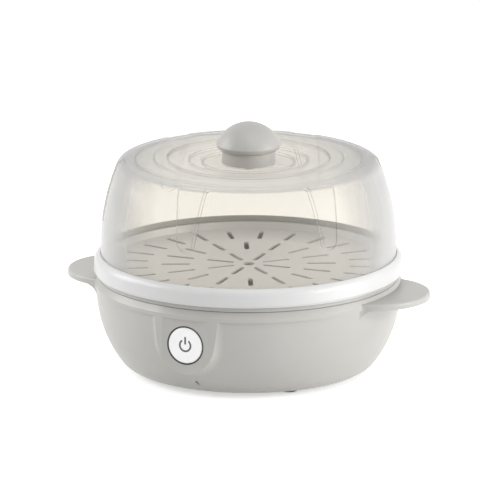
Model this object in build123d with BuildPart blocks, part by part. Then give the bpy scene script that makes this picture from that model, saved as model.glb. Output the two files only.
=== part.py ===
import os
from math import cos, radians, sin, sqrt

from build123d import *

os.makedirs("parts", exist_ok=True)

# Steam sterilizer, millimetres. The origin is on the floor under the middle of the base, +Z is up,
# the handles lie along X and the button side is -Y.

# Base housing
foot_height = 2.5
bowl_height = 65.5
bowl_radius = 122.8
bowl_arc_radius = 95.9
bowl_corner_radius = 19.8
base_wall = 2.5
band_step = 1.2
band_gap = 1.0
band_height = 3.0
ledge_height = 5.0
ledge_width = 3.0
rim_thickness = 4.5
rim_blend_height = 3.0

# Handles
handle_reach = 29.4
handle_end_radius = 46.0
handle_root_depth = 2.5
handle_root_blend = 12.0
handle_thickness = 5.0
handle_edge_radius = 2.0
handle_cove_radius = 10.0
handle_spare = 5.0

# Raised pad for the button
button_azimuth = -3.5
button_drop = 20.5
pad_half_width = 24.0
pad_inset = 0.5
pad_cove_radius = 10.0
pad_wall = 3.0
pad_depth = 61.5

# Button
button_radius = 14.7
button_gap = 0.85
button_proud = 0.2
button_wall = 2.0
button_flange = 2.0
button_flange_thickness = 1.5
button_skirt = 4.2
button_edge_radius = 0.8
button_travel = 1.5
button_guide_wall = 2.0
button_guide_clearance = 0.4
button_guide_spare = 1.0
button_guide_bite = 1.0
button_rest_gap = 0.1
button_stem_radius = 3.0
symbol_radius = 5.5
symbol_stroke = 1.6
symbol_bar_length = 6.2
symbol_gap_angle = 70.0
symbol_depth = 0.4

# Water tub
tub_wall = 2.2
lip_height = 4.0
lip_groove_height = 0.5
lip_groove_depth = 1.5
lip_plate = 2.4
lip_width = 9.4
lip_edge_radius = 0.8
tub_straight = 7.0
tub_slope_width = 13.6
tub_depth = 26.5
tub_floor_fall = 2.2
tub_shelf_width = 19.6
tub_opening_radius = 40.0

# Steam tray
tray_overhang = 4.0
tray_skirt_gap = 0.3
tray_rebate_height = 11.0
tray_rebate_depth = 4.4
tray_shoulder_width = 5.3
tray_rebate_width = 4.8
tray_floor_height = 3.5
tray_floor_thickness = 2.0
tray_wall = 2.4
tray_spigot_depth = 4.0
tray_spigot_clearance = 0.5
tray_seat_width = 5.5
tray_bead_height = 2.0
tray_band_height = 9.7
tray_edge = 1.2
tray_draft = 0.6
tray_round_width = 3.2
tray_round_height = 3.3
slot_length = 24.0
slot_width = 4.0
slot_rings = 3
slots_per_ring = 8
tray_centre_hole_radius = 5.0

# Lid
lid_clearance = 0.5
lid_wall = 1.8
lid_straight_height = 12.0
lid_height = 80.3
lid_arc_radius = 170.0
lid_corner_radius = 6.0
crown_inset = 26.7
crown_rise = 1.0
crown_step = 1.0
crown_peak_inset = 16.7
crown_peak_rise = 1.2
crown_step_insets = (10.4, 27.3, 37.3)
crown_fall = 0.2
crown_draft = 0.5
hub_fall = 0.9
hub_radius = 23.0
flute_count = 6
flute_azimuth = -5.0
flute_top_half_width = 11.5
flute_tip_radius = 6.2
flute_tip_height = 32.0
flute_depth = 1.2
flute_shoulder = 5.5
flute_spare = 5.0

# Knob
collar_radius = 21.6
collar_height = 10.6
collar_wall = 2.4
knob_sphere_radius = 28.0
knob_height = 22.5
knob_radius = 26.1
knob_rim_step = 1.0
knob_wall = 2.4
knob_arc_angle = 40.0
knob_rim_bulge = 0.8
knob_boss_radius = 5.0
knob_boss_clearance = 0.4
knob_screw_radius = 2.0
knob_screw_head_radius = 4.2
knob_screw_head_height = 2.6
knob_screw_length = 20.0
knob_washer_radius = 7.0
knob_washer_thickness = 1.0
screw_clearance = 0.2
recess_width = 1.0
recess_depth = 1.2

# Bottom cover, its screws and the feet
cover_inset = 52.8
cover_thickness = 2.0
cover_clearance = 0.3
cover_seat_width = 4.0
cover_seat_thickness = 2.0
cover_seat_rim = 3.0
post_inset = 12.0
post_radius = 4.5
cover_boss_radius = 6.0
cover_boss_height = 2.5
bottom_screw_radius = 1.7
bottom_screw_head_radius = 3.4
bottom_screw_head_height = 2.2
bottom_screw_sink = 2.6
bottom_screw_length = 16.0
vent_count = 8
vent_length = 16.0
vent_width = 3.0
vent_circle_radius = 30.0
foot_outset = 9.0
foot_radius = 7.0
foot_stem_radius = 3.0
foot_bulb_radius = 3.8
foot_bulb_height = 1.4
foot_edge_radius = 0.6

# Drain slot in the bowl, below the pad
drain_azimuth = -1.6
drain_height = 12.0
drain_length = 5.8
drain_width = 2.4
drain_tilt = -55.0
drain_depth = 1.5
drain_reach = 10.0

# Heater
gasket_width = 7.0
gasket_thickness = 1.5
dish_sheet = 0.8
dish_depth = 4.0
dish_flange_width = 10.0
dish_wall_run = 3.0
clamp_thickness = 2.0
clamp_inner_gap = 1.0
heater_screw_outset = 5.0
heater_boss_radius = 4.0
heater_screw_count = 3
heater_screw_radius = 1.5
heater_screw_head_radius = 2.8
heater_screw_head_height = 2.0
heater_screw_grip = 3.4
plate_clearance = 3.0
plate_thickness = 4.0
element_ring_radius = 21.5
element_radius = 3.2
element_open_angle = 60.0
element_sink = 3.0
cold_end_length = 9.8
blade_width = 6.3
blade_thickness = 0.8
blade_length = 8.0
thermostat_cap_radius = 8.0
thermostat_cap_height = 4.5
thermostat_body_radius = 7.0
thermostat_body_height = 6.5
thermostat_blade_offset = 4.5
bracket_thickness = 1.0
bracket_half_length = 15.0
bracket_hole_offset = 12.0
bracket_width = 8.0
plate_stud_radius = 2.2
thermostat_screw_radius = 1.4
thermostat_screw_head_radius = 2.4
thermostat_screw_head_height = 1.8
fuse_radius = 2.2
fuse_length = 14.0
fuse_offset = 28.0
clip_wall = 0.8
clip_length = 4.0
earth_tab_length = 10.0
earth_tab_inset = 2.5

# Control board behind the pad
board_inset = 13.5
board_thickness = 1.6
board_width = 44.0
board_height = 30.0
board_post_half_spacing = 18.5
board_post_half_rise = 11.0
board_post_radius = 2.8
board_screw_radius = 1.1
board_screw_head_radius = 2.2
board_screw_head_height = 1.6
board_screw_grip = 5.0
board_post_bite = 0.6
board_drop = 0.5
relay_width = 19.0
relay_height = 15.5
relay_depth = 15.0
relay_offset = 5.5
relay_drop = 5.4
terminal_width = 10.0
terminal_height = 12.0
terminal_depth = 10.0
terminal_offset = -11.0
terminal_drop = 1.0
terminal_pitch = 5.0
capacitor_width = 13.0
capacitor_height = 5.5
capacitor_depth = 5.0
capacitor_offset = 0.0
capacitor_rise = 8.0
led_radius = 1.5
led_length = 4.0
led_edge_radius = 0.7
led_offset = 8.5
switch_size = 8.0
switch_depth = 4.0
plunger_radius = 1.7
plunger_clearance = 0.05
plunger_length = 3.6
plunger_reach = 1.7

# Power inlet at the rear
inlet_rise = 32.5
inlet_pocket_depth = 14.8
inlet_pocket_width = 37.0
inlet_pocket_height = 30.0
inlet_pocket_radius = 4.0
inlet_pocket_wall = 3.0
inlet_flange_width = 31.0
inlet_flange_height = 24.0
inlet_flange_thickness = 2.5
inlet_body_width = 26.6
inlet_body_height = 19.6
inlet_body_depth = 20.0
inlet_fit = 0.2
inlet_socket_width = 24.2
inlet_socket_height = 16.4
inlet_socket_depth = 16.0
inlet_corner_cut = 5.0
inlet_pin_width = 4.0
inlet_pin_thickness = 2.0
inlet_pin_length = 12.0
inlet_pin_spacing = 7.0
inlet_pin_offset = 3.0
inlet_tab_length = 8.0
inlet_tab_width = 4.8

# Wires
lead_radius = 1.3
lead_bend = 4.0
lead_run_height = 11.5
lead_low = 2.0
lead_rise = 8.0
lead_straight = 12.0
lead_drop = 16.0
live_route = ((-24, 50), (-32, 0), (-31, -45))
live_front_place = (-31, -82)
neutral_route = (15, 45)
heater_front_place = (-20, -72)
heater_middle_place = (-10, -30)
fuse_front_place = (16, -16)
fuse_front_across = 24.0
fuse_rear_across = 22.0
fuse_rear_depth = 5.0

# How near an edge must lie to be the one picked
same_place = 0.01

# Heights that follow from the sizes above
bowl_floor_z = foot_height
bowl_widest_z = bowl_floor_z + bowl_height
band_bottom_z = bowl_widest_z + band_gap
band_top_z = band_bottom_z + band_height
ledge_top_z = band_top_z + ledge_height
lip_top_z = ledge_top_z + lip_height
lid_seat_z = lip_top_z + tray_rebate_height
ring_top_z = lid_seat_z + tray_rebate_depth
tray_floor_z = lip_top_z + tray_floor_height
lid_straight_z = lid_seat_z + lid_straight_height
lid_shoulder_z = lid_seat_z + lid_height
crown_peak_z = lid_shoulder_z + crown_rise + crown_step + crown_peak_rise
hub_z = crown_peak_z - len(crown_step_insets) * (crown_step + crown_fall) - hub_fall
knob_z = hub_z + collar_height
handle_bottom_z = band_bottom_z
handle_top_z = handle_bottom_z + handle_thickness
inside_floor_z = bowl_floor_z + base_wall
lead_run_z = bowl_floor_z + lead_run_height
tub_side_z = lip_top_z - tub_straight
post_bottom_z = bowl_floor_z + cover_thickness + cover_boss_height
ring_bottom_z = lip_top_z + tray_skirt_gap
shoulder_z = ring_bottom_z + tray_band_height

# Radii that follow from the sizes above
band_radius = bowl_radius + band_step
handle_tip_radius = band_radius + handle_reach
handle_end_centre = handle_tip_radius - handle_end_radius
handle_root_radius = band_radius - handle_root_depth
lip_radius = band_radius - ledge_width
rim_inner_radius = lip_radius - rim_thickness
tub_mouth_radius = lip_radius - lip_width
ring_radius = lip_radius + tray_overhang
rebate_radius = ring_radius - tray_shoulder_width
lid_radius = rebate_radius - lid_clearance
crown_radius = lid_radius - crown_inset
crown_peak_radius = crown_radius - crown_peak_inset
crown_step_radii = [crown_peak_radius - inset for inset in crown_step_insets]
spigot_radius = tub_mouth_radius - tray_spigot_clearance
tub_shelf_radius = tub_mouth_radius - tub_shelf_width
cover_radius = bowl_radius - cover_inset
cover_hole_radius = cover_radius + cover_clearance
post_circle_radius = cover_radius - post_inset
foot_circle_radius = cover_radius + foot_outset
slot_pitch = (spigot_radius - tray_wall - tray_centre_hole_radius) / slot_rings
element_half_gap = radians(element_open_angle / 2)
bowl_arc_centre = bowl_radius - bowl_arc_radius
lid_arc_centre = lid_radius - lid_arc_radius

# Stack under the tub's flat floor
tub_floor_z = lip_top_z - tub_depth
tub_under_z = tub_floor_z - tub_wall
flange_top_z = tub_under_z - gasket_thickness
flange_bottom_z = flange_top_z - dish_sheet
pan_bottom_z = flange_bottom_z - dish_depth
clamp_bottom_z = flange_bottom_z - clamp_thickness
plate_bottom_z = pan_bottom_z - plate_thickness
element_z = plate_bottom_z + element_sink - element_radius
cap_bottom_z = plate_bottom_z - thermostat_cap_height
fuse_z = plate_bottom_z - fuse_radius
pan_top_z = pan_bottom_z + dish_sheet
clamp_outer_radius = tub_opening_radius + gasket_width
heater_screw_circle = clamp_outer_radius + heater_screw_outset
tub_flat_radius = heater_screw_circle + heater_boss_radius
pan_radius = clamp_outer_radius - dish_flange_width - dish_wall_run
plate_radius = pan_radius - plate_clearance
earth_tab_offset = tub_opening_radius + earth_tab_inset

# Distances from the axis along the lines out of the pad and the inlet
button_height = bowl_widest_z - button_drop
pad_face = bowl_radius - pad_inset
pad_start = pad_face - pad_depth
board_distance = pad_face - board_inset
inlet_height = bowl_floor_z + inlet_rise
inlet_pocket_floor = bowl_radius - inlet_pocket_depth
button_face = pad_face + button_proud
button_stop = button_face - button_skirt
flange_back = button_stop - button_rest_gap - button_flange_thickness
guide_radius = button_radius + button_flange + button_guide_clearance
guide_outer_radius = guide_radius + button_guide_wall
board_back = board_distance - board_thickness
plunger_tip = board_distance + switch_depth + plunger_reach
board_z = button_height - board_drop
guide_back = flange_back - button_travel - button_guide_spare


# Section radius of the bowl at a height, with its wall moved in by inset
def bowl_section(height, inset=0.0):
    drop = bowl_widest_z - height
    return bowl_arc_centre + sqrt((bowl_arc_radius - inset) ** 2 - drop**2)


# Section radius of the lid's curved side at a height
def lid_section(height, inset=0.0):
    rise = height - lid_straight_z
    return lid_arc_centre + sqrt((lid_arc_radius - inset) ** 2 - rise**2)


# Direction away from the axis, turned from the front toward +X
def outward(azimuth):
    return Vector(sin(radians(azimuth)), -cos(radians(azimuth)), 0)


# Upright plane facing away from the axis: its x runs to the right and its y up
def side_plane(azimuth, distance):
    return Plane(
        origin=outward(azimuth) * distance,
        x_dir=outward(azimuth + 90),
        z_dir=outward(azimuth),
    )


# Plane facing out of the pad
def front_plane(distance):
    return side_plane(button_azimuth, distance)


# Plane facing out of the rear
def rear_plane(distance):
    return side_plane(180, distance)


# World point of a place in the front frame
def front_point(across, height, distance):
    spot = outward(button_azimuth) * distance + outward(button_azimuth + 90) * across
    return (spot.X, spot.Y, height)


# Solid bowl, from a flat bottom up a round side to a straight neck
def bowl_solid(inset, bottom_z, top_z, corner):
    foot = (bowl_section(bottom_z, inset), bottom_z)
    middle_z = (bottom_z + bowl_widest_z) / 2
    with BuildPart() as bowl:
        with BuildSketch(Plane.XZ):
            with BuildLine():
                Line((0, bottom_z), foot)
                ThreePointArc(
                    foot,
                    (bowl_section(middle_z, inset), middle_z),
                    (bowl_radius - inset, bowl_widest_z),
                )
                Polyline(
                    (bowl_radius - inset, bowl_widest_z),
                    (bowl_radius - inset, top_z),
                    (0, top_z),
                    (0, bottom_z),
                )
            make_face()
            fillet(vertices().group_by(Axis.Y)[0].sort_by(Axis.X)[-1], corner)
        revolve(axis=Axis.Z)
    return bowl.part


# Solid lid with its wall moved in by inset; its stepped crown sinks toward the knob
def lid_solid(inset, bottom_z):
    shoulder_z = lid_shoulder_z - inset
    middle_z = (lid_straight_z + shoulder_z) / 2
    rim = (lid_section(shoulder_z, inset), shoulder_z)
    crown_z = shoulder_z + crown_rise
    peak_z = crown_peak_z - inset
    crown = [(crown_radius, crown_z), (crown_radius - crown_draft, crown_z + crown_step)]
    crown.append((crown_peak_radius, peak_z))
    level = peak_z
    for step_radius in crown_step_radii:
        crown.append((step_radius + crown_draft, level))
        crown.append((step_radius, level - crown_step))
        level -= crown_step + crown_fall
    crown.append((hub_radius, hub_z - inset))
    crown.append((0, hub_z - inset))
    with BuildPart() as dome:
        with BuildSketch(Plane.XZ):
            with BuildLine():
                Polyline(
                    (0, bottom_z),
                    (lid_radius - inset, bottom_z),
                    (lid_radius - inset, lid_straight_z),
                )
                ThreePointArc(
                    (lid_radius - inset, lid_straight_z),
                    (lid_section(middle_z, inset), middle_z),
                    rim,
                )
                Polyline(rim, *crown, (0, bottom_z))
            make_face()
            corner = vertices().sort_by_distance(rim)[0]
            fillet(corner, lid_corner_radius - inset)
        revolve(axis=Axis.Z)
    return dome.part


# Tapered tongues round the lid, widened all round by grow
def flute_prisms(grow):
    top_z = lid_shoulder_z + crown_rise + grow
    start = lid_section(lid_shoulder_z) - flute_shoulder - grow
    centre_z = lid_seat_z + flute_tip_height + flute_tip_radius
    tip = flute_tip_radius + grow
    top = flute_top_half_width + grow
    with BuildPart() as flutes:
        for index in range(flute_count):
            with BuildSketch(side_plane(flute_azimuth + index * 360 / flute_count, start)):
                with BuildLine():
                    Line((-top, top_z), (-tip, centre_z))
                    ThreePointArc((-tip, centre_z), (0, centre_z - tip), (tip, centre_z))
                    Polyline((tip, centre_z), (top, top_z), (-top, top_z))
                make_face()
            extrude(amount=lid_radius - start + grow + flute_spare)
    return flutes.part


# Round wire along a route of straight runs and arcs
def lead_solid(*points):
    with BuildPart() as wire:
        with BuildLine():
            route = FilletPolyline(*points, radius=lead_bend)
        with BuildSketch(Plane(origin=route @ 0, z_dir=route % 0)):
            Circle(lead_radius)
        sweep()
    return wire


# Writes one finished piece as its own file
def keep(piece, name):
    piece.part.label = name
    export_step(piece.part, f"parts/{name}.step")


# Handle: a flat round tongue that blends into the ledge, with a cove below
cove_bottom_z = handle_bottom_z - handle_cove_radius
cove_start_radius = bowl_section(cove_bottom_z)
cove_end_radius = cove_start_radius + handle_cove_radius
cove_middle = handle_cove_radius * cos(radians(45))

with BuildPart() as handle_blank:
    with BuildSketch(Plane.XY.offset(cove_bottom_z)):
        Circle(handle_root_radius)
        with Locations((handle_end_centre, 0)):
            Circle(handle_end_radius)
        fillet(vertices().group_by(Axis.X)[0], handle_root_blend)
    extrude(amount=handle_cove_radius + handle_thickness)
    with BuildSketch(Plane.XZ):
        with BuildLine():
            Polyline((0, cove_bottom_z), (cove_start_radius, cove_bottom_z))
            ThreePointArc(
                (cove_start_radius, cove_bottom_z),
                (cove_end_radius - cove_middle, cove_bottom_z + cove_middle),
                (cove_end_radius, handle_bottom_z),
            )
            Polyline(
                (cove_end_radius, handle_bottom_z),
                (handle_tip_radius + handle_spare, handle_bottom_z),
                (handle_tip_radius + handle_spare, handle_top_z),
                (0, handle_top_z),
                (0, cove_bottom_z),
            )
        make_face()
    revolve(axis=Axis.Z, mode=Mode.INTERSECT)
    top_edges = edges().filter_by(GeomType.CIRCLE).group_by(Axis.Z)[-1]
    fillet(top_edges, handle_edge_radius)

# Pad: an upright prism blended into the bowl, then cut to its flat face
pad_blank_z = ledge_top_z + lip_height
with BuildPart() as pad_blank:
    add(bowl_solid(0, bowl_floor_z, pad_blank_z, bowl_corner_radius))
    with BuildSketch(front_plane(pad_start)):
        with Locations((0, button_height)):
            Circle(pad_half_width)
        with Locations((0, (button_height + pad_blank_z) / 2)):
            Rectangle(2 * pad_half_width, pad_blank_z - button_height)
    extrude(amount=bowl_radius)
    curved = edges().filter_by(GeomType.BSPLINE)
    upright = edges().filter_by(Axis.Z).filter_by(
        lambda edge: abs(sqrt(edge.center().X ** 2 + edge.center().Y ** 2) - bowl_radius) < same_place
    )
    fillet(curved + upright, pad_cove_radius)
    with BuildSketch(front_plane(pad_face)):
        with Locations((0, band_bottom_z / 2)):
            Rectangle(4 * pad_half_width, 2 * band_bottom_z)
    extrude(amount=bowl_radius, mode=Mode.SUBTRACT)
    with BuildSketch(Plane.XY):
        Circle(band_radius)
    extrude(amount=band_bottom_z, mode=Mode.INTERSECT)

with BuildPart() as pad_hollow:
    with BuildSketch(front_plane(board_distance)):
        with Locations((0, button_height)):
            Circle(pad_half_width - pad_wall)
        with Locations((0, (button_height + bowl_widest_z) / 2)):
            Rectangle(2 * (pad_half_width - pad_wall), bowl_widest_z - button_height)
    extrude(amount=pad_face - board_distance)
    with BuildSketch(Plane.XY):
        Circle(pad_face - pad_wall)
    extrude(amount=bowl_widest_z, mode=Mode.INTERSECT)

# Thickened wall behind the rear pocket, cut to the bowl's outline
with BuildPart() as pocket_blank:
    with BuildSketch(rear_plane(inlet_pocket_floor - inlet_pocket_wall)):
        with Locations((0, inlet_height)):
            Rectangle(
                inlet_pocket_width + 2 * inlet_pocket_wall,
                inlet_pocket_height + 2 * inlet_pocket_wall,
            )
    extrude(amount=bowl_radius - inlet_pocket_floor + inlet_pocket_wall)
    add(bowl_solid(0, bowl_floor_z, band_bottom_z, bowl_corner_radius), mode=Mode.INTERSECT)

bowl_hollow = bowl_solid(base_wall, inside_floor_z, band_bottom_z, bowl_corner_radius - base_wall)
board_post_places = [
    (side * board_post_half_spacing, board_z + rise * board_post_half_rise)
    for side in (-1, 1)
    for rise in (-1, 1)
]

with BuildPart() as base_housing:
    add(pad_blank.part)
    with BuildSketch(Plane.XZ):
        Polygon(
            (0, bowl_widest_z),
            (bowl_radius, bowl_widest_z),
            (bowl_radius, band_bottom_z),
            (band_radius, band_bottom_z),
            (band_radius, band_top_z),
            (lip_radius, ledge_top_z),
            (0, ledge_top_z),
            align=None,
        )
    revolve(axis=Axis.Z)
    for turn in (0, 180):
        add(handle_blank.part.rotate(Axis.Z, turn))
    add(bowl_hollow, mode=Mode.SUBTRACT)
    with BuildSketch(Plane.XZ):
        Polygon(
            (0, bowl_widest_z),
            (bowl_radius - base_wall, bowl_widest_z),
            (bowl_radius - base_wall, band_bottom_z),
            (rim_inner_radius, band_bottom_z + rim_blend_height),
            (rim_inner_radius, ledge_top_z),
            (0, ledge_top_z),
            align=None,
        )
    revolve(axis=Axis.Z, mode=Mode.SUBTRACT)
    add(pad_hollow.part, mode=Mode.SUBTRACT)
    # Guide ring, its bore and its stop for the button
    with BuildSketch(front_plane(guide_back)):
        with Locations((0, button_height)):
            Circle(guide_outer_radius)
    extrude(amount=pad_face - pad_wall + button_guide_bite - guide_back)
    # Posts for the control board
    with BuildSketch(front_plane(board_distance)):
        with Locations(*board_post_places):
            Circle(board_post_radius)
    extrude(amount=pad_face - pad_wall + board_post_bite - board_distance)
    with BuildSketch(front_plane(guide_back)):
        with Locations((0, button_height)):
            Circle(guide_radius)
    extrude(amount=button_stop - guide_back, mode=Mode.SUBTRACT)
    with BuildSketch(front_plane(guide_back)):
        with Locations((0, button_height)):
            Circle(button_radius + button_gap)
    extrude(amount=bowl_radius, mode=Mode.SUBTRACT)
    with BuildSketch(front_plane(board_distance)):
        with Locations(*board_post_places):
            Circle(board_screw_radius)
    extrude(amount=board_screw_grip, mode=Mode.SUBTRACT)
    # Rear pocket and the inlet's hole
    add(pocket_blank.part)
    with BuildSketch(rear_plane(inlet_pocket_floor)):
        with Locations((0, inlet_height)):
            RectangleRounded(inlet_pocket_width, inlet_pocket_height, inlet_pocket_radius)
    extrude(amount=bowl_radius, mode=Mode.SUBTRACT)
    with BuildSketch(rear_plane(inlet_pocket_floor - 2 * inlet_pocket_wall)):
        with Locations((0, inlet_height)):
            Rectangle(inlet_body_width + 2 * inlet_fit, inlet_body_height + 2 * inlet_fit)
    extrude(amount=4 * inlet_pocket_wall, mode=Mode.SUBTRACT)
    # Opening with its seat for the bottom cover, and the holes of the feet
    with BuildSketch(Plane.XY.offset(bowl_floor_z + cover_thickness)):
        Circle(cover_hole_radius + cover_seat_rim)
    extrude(amount=cover_seat_thickness)
    with BuildSketch(Plane.XY.offset(bowl_floor_z)):
        Circle(cover_hole_radius)
    extrude(amount=cover_thickness, mode=Mode.SUBTRACT)
    with BuildSketch(Plane.XY.offset(bowl_floor_z)):
        Circle(cover_hole_radius - cover_seat_width)
    extrude(amount=cover_thickness + cover_seat_thickness, mode=Mode.SUBTRACT)
    with BuildSketch(Plane.XY.offset(bowl_floor_z)):
        with PolarLocations(foot_circle_radius, 4, start_angle=45):
            Circle(foot_stem_radius)
    extrude(amount=base_wall, mode=Mode.SUBTRACT)
    # Blind drain slot below the pad
    with BuildSketch(side_plane(drain_azimuth, bowl_section(drain_height) - drain_depth)):
        with Locations((0, drain_height)):
            SlotOverall(drain_length, drain_width, rotation=drain_tilt)
    extrude(amount=drain_reach, mode=Mode.SUBTRACT)
keep(base_housing, "base_housing")

# Water tub: lip, sloped bowl and flat floor round the heater's opening
with BuildPart() as water_tub:
    with BuildSketch(Plane.XZ):
        with BuildLine():
            Polyline(
                (tub_mouth_radius, lip_top_z),
                (tub_mouth_radius, tub_side_z),
                (tub_mouth_radius - tub_slope_width, tub_side_z - tub_slope_width),
                (tub_shelf_radius, tub_floor_z + tub_floor_fall),
                (tub_flat_radius, tub_floor_z),
                (tub_opening_radius, tub_floor_z),
            )
            offset(amount=tub_wall, side=Side.LEFT, kind=Kind.INTERSECTION)
        make_face()
        Polygon(
            (tub_mouth_radius, lip_top_z),
            (lip_radius, lip_top_z),
            (lip_radius, ledge_top_z + lip_groove_height),
            (lip_radius - lip_groove_depth, ledge_top_z + lip_groove_height),
            (lip_radius - lip_groove_depth, ledge_top_z),
            (rim_inner_radius, ledge_top_z),
            (rim_inner_radius, lip_top_z - lip_plate),
            (tub_mouth_radius, lip_top_z - lip_plate),
            align=None,
        )
        fillet(vertices().group_by(Axis.Y)[-1].sort_by(Axis.X)[-1], lip_edge_radius)
    revolve(axis=Axis.Z)
    with BuildSketch(Plane.XY.offset(post_bottom_z)):
        with PolarLocations(post_circle_radius, 4, start_angle=45):
            Circle(post_radius)
    extrude(amount=tub_floor_z - post_bottom_z)
    with BuildSketch(Plane.XY.offset(flange_bottom_z)):
        with PolarLocations(heater_screw_circle, heater_screw_count, start_angle=-90):
            Circle(heater_boss_radius)
    extrude(amount=tub_floor_z - flange_bottom_z)
    with BuildSketch(Plane.XY.offset(post_bottom_z)):
        with PolarLocations(post_circle_radius, 4, start_angle=45):
            Circle(bottom_screw_radius)
    extrude(amount=bottom_screw_length, mode=Mode.SUBTRACT)
    with BuildSketch(Plane.XY.offset(flange_bottom_z)):
        with PolarLocations(heater_screw_circle, heater_screw_count, start_angle=-90):
            Circle(heater_screw_radius)
    extrude(amount=heater_screw_grip, mode=Mode.SUBTRACT)
keep(water_tub, "water_tub")

# Bottom cover with screw bosses and vent slots
with BuildPart() as bottom_cover:
    with BuildSketch(Plane.XY.offset(bowl_floor_z)):
        Circle(cover_radius)
    extrude(amount=cover_thickness)
    with BuildSketch(Plane.XY.offset(bowl_floor_z)):
        with PolarLocations(post_circle_radius, 4, start_angle=45):
            Circle(cover_boss_radius)
    extrude(amount=cover_thickness + cover_boss_height)
    with BuildSketch(Plane.XY.offset(bowl_floor_z)):
        with PolarLocations(post_circle_radius, 4, start_angle=45):
            Circle(bottom_screw_head_radius + screw_clearance)
    extrude(amount=bottom_screw_sink, mode=Mode.SUBTRACT)
    with BuildSketch(Plane.XY.offset(bowl_floor_z)):
        with PolarLocations(post_circle_radius, 4, start_angle=45):
            Circle(bottom_screw_radius + screw_clearance)
    extrude(amount=cover_thickness + cover_boss_height, mode=Mode.SUBTRACT)
    with BuildSketch(Plane.XY.offset(bowl_floor_z)):
        with PolarLocations(vent_circle_radius, vent_count):
            SlotOverall(vent_length, vent_width)
    extrude(amount=cover_thickness, mode=Mode.SUBTRACT)
keep(bottom_cover, "bottom_cover")

# Four screws that clamp the cover, the housing and the tub together
bottom_head_z = bowl_floor_z + bottom_screw_sink - bottom_screw_head_height
bottom_head_top_z = bottom_head_z + bottom_screw_head_height
bottom_screw_end_z = post_bottom_z + bottom_screw_length - screw_clearance
with BuildPart() as bottom_screws:
    with BuildSketch(Plane.XY.offset(bottom_head_z)):
        with PolarLocations(post_circle_radius, 4, start_angle=45):
            Circle(bottom_screw_head_radius)
    extrude(amount=bottom_screw_head_height)
    with BuildSketch(Plane.XY.offset(bottom_head_top_z)):
        with PolarLocations(post_circle_radius, 4, start_angle=45):
            Circle(bottom_screw_radius)
    extrude(amount=bottom_screw_end_z - bottom_head_top_z)
    with BuildSketch(Plane.XY.offset(bottom_head_z)):
        with PolarLocations(post_circle_radius, 4, start_angle=45):
            Rectangle(2 * bottom_screw_radius, recess_width)
            Rectangle(recess_width, 2 * bottom_screw_radius)
    extrude(amount=recess_depth, mode=Mode.SUBTRACT)
keep(bottom_screws, "bottom_screws")

# Four rubber feet, each with a stem through the housing's floor and a bulb above it
with BuildPart() as rubber_feet:
    with BuildSketch():
        with PolarLocations(foot_circle_radius, 4, start_angle=45):
            Circle(foot_radius)
    extrude(amount=foot_height)
    with BuildSketch(Plane.XY.offset(foot_height)):
        with PolarLocations(foot_circle_radius, 4, start_angle=45):
            Circle(foot_stem_radius)
    extrude(amount=base_wall)
    with BuildSketch(Plane.XY.offset(inside_floor_z)):
        with PolarLocations(foot_circle_radius, 4, start_angle=45):
            Circle(foot_bulb_radius)
    extrude(amount=foot_bulb_height)
    fillet(edges().filter_by(GeomType.CIRCLE).group_by(Axis.Z)[0], foot_edge_radius)
keep(rubber_feet, "rubber_feet")

# Steel dish that closes the tub's opening from below
with BuildPart() as heater_dish:
    with BuildSketch(Plane.XZ):
        with BuildLine():
            Polyline(
                (clamp_outer_radius, flange_top_z),
                (clamp_outer_radius - dish_flange_width, flange_top_z),
                (pan_radius, pan_top_z),
                (0, pan_top_z),
            )
            offset(amount=dish_sheet, side=Side.LEFT, kind=Kind.INTERSECTION)
        make_face()
    revolve(axis=Axis.Z)
keep(heater_dish, "heater_dish")

# Silicone seal between the dish and the tub
with BuildPart() as heater_gasket:
    with BuildSketch(Plane.XY.offset(flange_top_z)):
        Circle(clamp_outer_radius)
        Circle(tub_opening_radius, mode=Mode.SUBTRACT)
    extrude(amount=gasket_thickness)
keep(heater_gasket, "heater_gasket")

# Clamp ring with three ears
ear_centre = (heater_screw_circle + tub_opening_radius) / 2
with BuildPart() as heater_clamp:
    with BuildSketch(Plane.XY.offset(clamp_bottom_z)):
        Circle(clamp_outer_radius)
        with PolarLocations(heater_screw_circle, heater_screw_count, start_angle=-90):
            Circle(heater_boss_radius)
        with PolarLocations(ear_centre, heater_screw_count, start_angle=-90):
            Rectangle(heater_screw_circle - tub_opening_radius, 2 * heater_boss_radius)
        Circle(clamp_outer_radius - dish_flange_width + clamp_inner_gap, mode=Mode.SUBTRACT)
        with PolarLocations(heater_screw_circle, heater_screw_count, start_angle=-90):
            Circle(heater_screw_radius + screw_clearance, mode=Mode.SUBTRACT)
    extrude(amount=clamp_thickness)
keep(heater_clamp, "heater_clamp")

with BuildPart() as heater_screws:
    with BuildSketch(Plane.XY.offset(clamp_bottom_z)):
        with PolarLocations(heater_screw_circle, heater_screw_count, start_angle=-90):
            Circle(heater_screw_head_radius)
    extrude(amount=-heater_screw_head_height)
    with BuildSketch(Plane.XY.offset(clamp_bottom_z)):
        with PolarLocations(heater_screw_circle, heater_screw_count, start_angle=-90):
            Circle(heater_screw_radius)
    extrude(amount=clamp_thickness + heater_screw_grip - screw_clearance)
keep(heater_screws, "heater_screws")

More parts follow.
